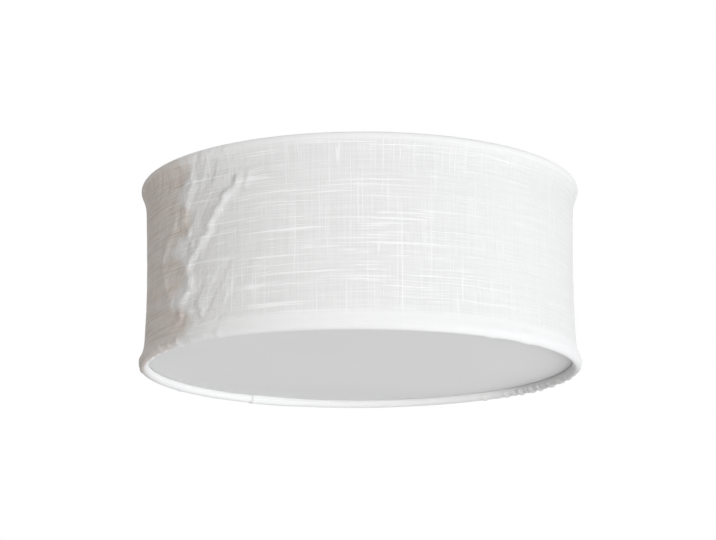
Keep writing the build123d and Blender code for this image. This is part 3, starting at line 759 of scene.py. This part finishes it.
def column_angles(seam, length, columns):
    """Angles of the mesh's columns from the seam, closer together along the fine stretches.

    They part the area under a density curve, 1 plus a bell for each stretch, into equal shares.
    """
    even = np.linspace(0, length, 8 * columns)
    density = np.ones(even.shape)
    for degrees, half_width, finer in FINE_STRETCHES:
        off = away_from(even + seam, degrees) / math.radians(half_width)
        density += finer * np.exp(-(off**4))
    area = np.concatenate([[0], np.cumsum((density[1:] + density[:-1]) / 2)])
    return np.interp(np.linspace(0, area[-1], columns), area, even)


def stand_off(angle, height, on_wall, on_lower_roll, under_roll):
    """How far the cloth stands off its smooth section.

    On the wall that is the highest of the creases, whose lines wander and whose crests rise and fall
    by sines of the height, plus slow ripples and a fine crumple. The roll adds a bell for the sag,
    exp(-off**4), and one for each pucker, exp(-off**2), where off is in half widths.
    """
    wander = 0.0011 * (np.sin(330 * height + 9 * angle) + 0.7 * np.sin(610 * height - 31 * angle))
    wrapped = away_from(angle, 0)
    round_wall = wrapped * ring_radius + wander
    lift = np.zeros(angle.shape)
    for line, rise, left, right in CREASES:
        uneven = 0.8 + 0.2 * np.sin(520 * height + 23 * line[0][0])
        lift = np.maximum(lift, rise * uneven * off_line(round_wall, height, line, left, right))
    ripple = sum(np.sin(waves * angle + slant * height + start) for waves, slant, start in RIPPLES)
    lift = lift + RIPPLE_RISE * (len(RIPPLES) + ripple)
    middle, half_width, rise = CRUMPLE
    near_left = np.exp(-(((wrapped - math.radians(middle)) / math.radians(half_width)) ** 2))
    crumple = np.sin(31 * angle + 170 * height) * np.sin(19 * angle - 120 * height + 0.4)
    lift = lift + rise * near_left * (1 + crumple)
    lift = lift * on_wall
    middle, half_width, drop = HEM_SAG
    off = away_from(angle, middle) / math.radians(half_width)
    lift = lift + drop * np.exp(-(off**4)) * under_roll
    for degrees, rise, width in PUCKERS:
        off = away_from(angle, degrees) * ring_radius
        lift = lift + rise * np.exp(-((off / width) ** 2)) * on_lower_roll
    return lift


def where_on_cloth(place, roll_share):
    """Shares of each row that lie on the wall, on the lower roll and under it.

    The row's place runs from 0 at the lower hem's end to 1 at the upper's. The first share is a
    smooth step, the second two straight slopes and the third a bell about the ring's underside.
    """
    from_edge = np.minimum(place, 1 - place)
    on_wall = np.clip((from_edge - roll_share * 0.8) / (roll_share * 0.5), 0, 1)
    on_wall = on_wall * on_wall * (3 - 2 * on_wall)
    on_lower_roll = np.clip((place - roll_share * 0.22) / (roll_share * 0.1), 0, 1)
    on_lower_roll = on_lower_roll * np.clip((roll_share * 1.25 - place) / (roll_share * 0.3), 0, 1)
    under_roll = np.exp(-(((place / roll_share - 0.52) / 0.17) ** 2))
    return on_wall, on_lower_roll, under_roll


def add_piece(name, points, faces, finish):
    """Puts points and faces into a new mesh object at the origin, smooth shaded, with a finish."""
    mesh = bpy.data.meshes.new(name)
    mesh.from_pydata(points.tolist(), [], faces.tolist())
    mesh.polygons.foreach_set("use_smooth", np.ones(len(faces), dtype=bool))
    mesh.materials.append(finish)
    mesh.update()
    piece = bpy.data.objects.new(name, mesh)
    bpy.context.scene.collection.objects.link(piece)
    return piece


class OBJECT_OT_drum_linen(bpy.types.Operator):
    """Makes the linen of the shade, turned over both rings, in place of its solid"""

    bl_idname = "object.drum_linen"
    bl_label = "Linen shade"

    def execute(self, context):
        linen = context.scene.drum_linen
        section = section_line(linen)
        step = np.diff(section, axis=0)
        travelled = np.concatenate([[0], np.cumsum(np.hypot(step[:, 0], step[:, 1]))])
        tangent = np.gradient(section, travelled, axis=0)
        tangent /= np.hypot(tangent[:, 0], tangent[:, 1])[:, None]
        outward = np.stack([tangent[:, 1], -tangent[:, 0]], axis=1)

        lap_angle = linen.lap / ring_radius
        seam = math.radians(SEAM_DEGREES)
        turned = column_angles(seam, 2 * math.pi + lap_angle, linen.columns)
        angle = seam + turned[None, :]
        height = section[:, 1][:, None]
        shares = where_on_cloth((travelled / travelled[-1])[:, None], roll_length(linen) / travelled[-1])
        height_grid = np.broadcast_to(height, (len(section), linen.columns))
        lift = stand_off(angle, height_grid, *shares)
        over = np.clip((turned - 2 * math.pi + 3 * lap_angle) / (2 * lap_angle), 0, 1)
        lift = lift + 1.1 * linen.thickness * over[None, :]

        radius = section[:, 0][:, None] + outward[:, 0][:, None] * lift
        z = height + outward[:, 1][:, None] * lift
        points = np.stack([radius * np.cos(angle), radius * np.sin(angle), z], axis=2).reshape(-1, 3)
        rows, columns = radius.shape
        corner = np.arange(rows * columns).reshape(rows, columns)
        faces = np.stack([corner[:-1, :-1], corner[:-1, 1:], corner[1:, 1:], corner[1:, :-1]], axis=2)
        faces = faces.reshape(-1, 4)
        faces = faces[~at_an_arm(points[faces].mean(axis=1))]

        piece = add_piece("linen_shade", points, faces, LinenFinish(linen).finish())
        spread = np.stack(np.broadcast_arrays(turned[None, :] * ring_radius, travelled[:, None]), axis=2)
        cloth_map = piece.data.uv_layers.new(name="cloth")
        cloth_map.data.foreach_set("uv", spread.reshape(-1, 2)[faces.reshape(-1)].reshape(-1))
        wall = piece.modifiers.new("cloth", "SOLIDIFY")
        wall.thickness = linen.thickness
        wall.offset = -1.0
        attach(piece, "shade")
        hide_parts("linen_cover")
        return {"FINISHED"}


def at_an_arm(centres):
    """Which faces lie where a fitter arm passes through the cloth on its way to the top ring."""
    arm_low, arm_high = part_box("fitter_arms")
    found = np.zeros(len(centres), dtype=bool)
    for degrees in ARM_DEGREES:
        along = np.array([math.cos(math.radians(degrees)), math.sin(math.radians(degrees)), 0])
        run = centres @ along
        off = centres - run[:, None] * along - np.array([0, 0, high_ring_z])
        inside = (run > 0) & (run < ring_radius) & (centres[:, 2] > arm_low[2])
        found |= inside & (np.linalg.norm(off, axis=1) < SLIT_REACH)
    return found


# ---------------------------------------------------------------- finishes of the carried-over pieces
WHITE = (0.90, 0.90, 0.89)
ZINC = ((0.50, 0.51, 0.52), (0.74, 0.75, 0.76))
NICKEL = ((0.60, 0.58, 0.55), (0.80, 0.78, 0.75))
YELLOW_BRASS = ((0.62, 0.46, 0.20), (0.83, 0.67, 0.36))

# Scale of the streaks that turning leaves round a piece whose axis is X.
ROUND_X = (1400.0, 90.0, 90.0)


class OBJECT_OT_drum_frame(bpy.types.Operator):
    """Finishes the shade's liner, rings, bindings and fitter"""

    bl_idname = "object.drum_frame"
    bl_label = "Shade frame"

    def execute(self, context):
        dress(sheet_finish(), "shade_liner")
        dress(tape_finish(), "top_ring_binding", "bottom_ring_binding")
        dress(enamel_finish("ring_enamel", WHITE, 900.0), "top_ring", "bottom_ring")
        dress(enamel_finish("fitter_enamel", WHITE, 1200.0), "fitter_ring", "fitter_arms")
        dress(
            plate_finish("turned_nickel", *NICKEL, 0.22),
            "thumbscrew_1",
            "thumbscrew_2",
            "thumbscrew_3",
        )
        return {"FINISHED"}


class OBJECT_OT_drum_diffuser(bpy.types.Operator):
    """Finishes the opal disc under the lamps"""

    bl_idname = "object.drum_diffuser"
    bl_label = "Diffuser"

    def execute(self, context):
        dress(opal_finish(), "diffuser")
        return {"FINISHED"}


class OBJECT_OT_drum_pan(bpy.types.Operator):
    """Finishes the ceiling pan, its bar, brackets and fixings"""

    bl_idname = "object.drum_pan"
    bl_label = "Ceiling pan"

    def execute(self, context):
        dress(enamel_finish("pan_enamel", (0.88, 0.88, 0.87), 1500.0), "ceiling_pan")
        rolled = plate_finish("zinc_sheet", *ZINC, 0.26, (90.0, 1400.0, 90.0))
        dress(rolled, "mounting_bar", "holder_brackets")
        dress(plate_finish("zinc_screws", *ZINC, 0.3), "bar_studs", "bracket_screws", "terminal_screws")
        turned = plate_finish("zinc_turned", *ZINC, 0.24, ROUND_X)
        dress(turned, "holder_nipples", "holder_lock_nuts")
        dress(plate_finish("nickel_domes", *NICKEL, 0.16), "dome_nuts")
        dress(plate_finish("brass_turned", *YELLOW_BRASS, 0.25), "threaded_bushes", "earth_screw")
        return {"FINISHED"}


class OBJECT_OT_drum_wiring(bpy.types.Operator):
    """Finishes the lampholders, terminal block, grommets and leads"""

    bl_idname = "object.drum_wiring"
    bl_label = "Lampholders and wiring"

    def execute(self, context):
        phenolic = moulded_finish("black_phenolic", (0.022, 0.021, 0.020), (0.045, 0.043, 0.041), 0.30)
        dress(phenolic, "lampholder_bodies")
        dress(plate_finish("nickel_shells", *NICKEL, 0.2, ROUND_X), "screw_shells")
        dress(plate_finish("contact_brass", *YELLOW_BRASS, 0.2), "centre_contacts")
        dress(moulded_finish("white_block", (0.80, 0.80, 0.77), (0.88, 0.88, 0.85), 0.35), "terminal_block")
        rubber = moulded_finish("grey_rubber", (0.10, 0.10, 0.105), (0.16, 0.16, 0.165), 0.6, 900.0)
        dress(rubber, "lead_grommets")
        dress(plate_finish("tinned_copper", (0.60, 0.58, 0.56), (0.78, 0.77, 0.75), 0.3), "earth_lug")
        dress(sleeve_finish("brown_sleeve", (0.16, 0.070, 0.035), (0.22, 0.10, 0.05), 0.3), "live_leads")
        dress(sleeve_finish("blue_sleeve", (0.05, 0.14, 0.42), (0.08, 0.20, 0.52), 0.3), "neutral_leads")
        dress(sleeve_finish("striped_sleeve", (0.10, 0.36, 0.08), (0.72, 0.62, 0.06), 0.45), "earth_lead")
        return {"FINISHED"}


class OBJECT_OT_drum_lamps(bpy.types.Operator):
    """Finishes the two lamps"""

    bl_idname = "object.drum_lamps"
    bl_label = "Lamps"

    def execute(self, context):
        glass = moulded_finish("black_vitrite", (0.012, 0.012, 0.016), (0.03, 0.03, 0.04), 0.12, 600.0)
        tin = plate_finish("solder_tin", (0.50, 0.50, 0.51), (0.72, 0.72, 0.73), 0.35)
        housing = moulded_finish("white_housing", (0.84, 0.84, 0.83), (0.89, 0.89, 0.88), 0.38)
        frosted = moulded_finish("frosted_globe", (0.86, 0.86, 0.84), (0.91, 0.91, 0.89), 0.48, 3600.0)
        for letter in "ab":
            low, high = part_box(f"lamp_{letter}_globe")
            axis_point = [(a + b) / 2 for a, b in zip(low, high)]
            dress(tin, f"lamp_{letter}_contact")
            dress(glass, f"lamp_{letter}_insulator")
            dress(threaded_finish(f"threaded_cap_{letter}", axis_point, *NICKEL), f"lamp_{letter}_cap")
            dress(housing, f"lamp_{letter}_housing")
            dress(frosted, f"lamp_{letter}_globe")
        return {"FINISHED"}


# ---------------------------------------------------------------- the studio
def aim_camera(studio):
    """Stands the camera below and in front of the drum and turns it by the three small aims."""
    centre = Vector((0.0, 0.0, middle_z))
    offset = Vector((0.0, -math.cos(studio.below), -math.sin(studio.below))) * studio.distance
    forward = -offset.normalized()
    right = forward.cross(Vector((0.0, 0.0, 1.0))).normalized()
    looks = Matrix((right, right.cross(forward), forward))
    aims = ((studio.aim_across, "Y"), (studio.aim_up, "X"), (studio.roll, "Z"))
    for angle, axis in aims:
        looks = Matrix.Rotation(angle, 3, axis) @ looks
    camera = bpy.data.objects.new("camera", bpy.data.cameras.new("camera"))
    camera.data.lens = studio.lens
    turned = Matrix((looks[0], looks[1], -looks[2])).transposed().to_4x4()
    camera.matrix_world = Matrix.Translation(centre + offset) @ turned
    bpy.context.scene.collection.objects.link(camera)
    bpy.context.scene.camera = camera


def hang_lamp(name, stand, power, size, colour):
    """A square soft light that faces the drum's middle."""
    degrees, out, height = stand
    bearing = math.radians(degrees)
    place = Vector((out * math.sin(bearing), -out * math.cos(bearing), height))
    light = bpy.data.lights.new(name, "AREA")
    light.energy = power
    light.size = size
    light.color = colour
    lamp = bpy.data.objects.new(name, light)
    lamp.location = place
    lamp.rotation_euler = (Vector((0.0, 0.0, middle_z)) - place).to_track_quat("-Z", "Y").to_euler()
    bpy.context.scene.collection.objects.link(lamp)


def fill_air(studio):
    """Even light from all round, which the camera, gloss and glass see as white paper."""
    world = bpy.data.worlds.new("air")
    bpy.context.scene.world = world
    world.use_nodes = True
    nodes = Nodes(world.node_tree)
    air = nodes.add("ShaderNodeBackground", sockets={"Color": (*studio.air, 1.0), "Strength": 1.0})
    white = nodes.add("ShaderNodeBackground", sockets={"Color": (1.0, 1.0, 1.0, 1.0), "Strength": 1.0})
    both = nodes.add("ShaderNodeMixShader", sockets={0: nodes.seen_as_paper(), 1: air, 2: white})
    nodes.plug(world.node_tree.nodes["World Output"], {"Surface": both})


def lay_floor(studio):
    """A round paper floor, reach * (cos, sin) of even angles, seen paler than the light it gives."""
    round_floor = np.linspace(0, 2 * math.pi, FLOOR_CORNERS, endpoint=False)
    level = np.full(FLOOR_CORNERS, studio.floor_z)
    edge = [FLOOR_REACH * np.cos(round_floor), FLOOR_REACH * np.sin(round_floor), level]
    paper = Finish("paper", {"Specular IOR Level": 0.1})
    fibre = paper.noise(paper.place(), 40.0)
    tone = paper.blend(fibre, studio.paper, [min(1.0, 1.02 * c) for c in studio.paper])
    whole = np.arange(FLOOR_CORNERS)[None, :]
    floor = add_piece("floor", np.stack(edge, axis=1), whole, paper.show(tone, 0.9))
    glow = paper.add("ShaderNodeEmission", sockets={"Color": (1.0, 1.0, 1.0, 1.0), "Strength": 1.0})
    lit = Wire(paper, paper.shader.outputs["BSDF"])
    sockets = {0: paper.seen_as_paper() * studio.whiteness, 1: lit, 2: glow}
    seen = paper.add("ShaderNodeMixShader", sockets=sockets)
    paper.plug(paper.tree.nodes["Material Output"], {"Surface": seen})
    return floor


class OBJECT_OT_drum_studio(bpy.types.Operator):
    """Sets up the floor, the air, the soft lights and the camera"""

    bl_idname = "object.drum_studio"
    bl_label = "Studio"

    def execute(self, context):
        studio = context.scene.drum_studio
        context.scene.view_settings.view_transform = "Standard"
        floor = lay_floor(studio)
        for name, (stand, size, colour) in LAMPS.items():
            hang_lamp(name, stand, getattr(studio, name), size, colour)
        fill_air(studio)
        aim_camera(studio)
        return {"FINISHED"}


OPERATORS = (
    OBJECT_OT_drum_linen,
    OBJECT_OT_drum_frame,
    OBJECT_OT_drum_diffuser,
    OBJECT_OT_drum_pan,
    OBJECT_OT_drum_wiring,
    OBJECT_OT_drum_lamps,
    OBJECT_OT_drum_studio,
)


class VIEW3D_PT_drum_light(bpy.types.Panel):
    """Lists the light's operators and settings"""

    bl_label = "Drum light"
    bl_idname = "VIEW3D_PT_drum_light"
    bl_space_type = "VIEW_3D"
    bl_region_type = "UI"
    bl_category = "Drum light"

    def draw(self, context):
        for operator in OPERATORS:
            self.layout.operator(operator.bl_idname)
        for settings in (context.scene.drum_linen, context.scene.drum_studio):
            for name in settings.__annotations__:
                self.layout.prop(settings, name)


CLASSES = (LinenSettings, StudioSettings, *OPERATORS, VIEW3D_PT_drum_light)


def register():
    for cls in CLASSES:
        bpy.utils.register_class(cls)
    bpy.types.Scene.drum_linen = PointerProperty(type=LinenSettings)
    bpy.types.Scene.drum_studio = PointerProperty(type=StudioSettings)


def unregister():
    del bpy.types.Scene.drum_studio
    del bpy.types.Scene.drum_linen
    for cls in reversed(CLASSES):
        bpy.utils.unregister_class(cls)


def main():
    """Builds the whole light."""
    register()
    bpy.ops.object.drum_linen()
    bpy.ops.object.drum_frame()
    bpy.ops.object.drum_diffuser()
    bpy.ops.object.drum_pan()
    bpy.ops.object.drum_wiring()
    bpy.ops.object.drum_lamps()
    bpy.ops.object.drum_studio()
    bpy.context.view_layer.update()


if __name__ == "__main__":
    main()
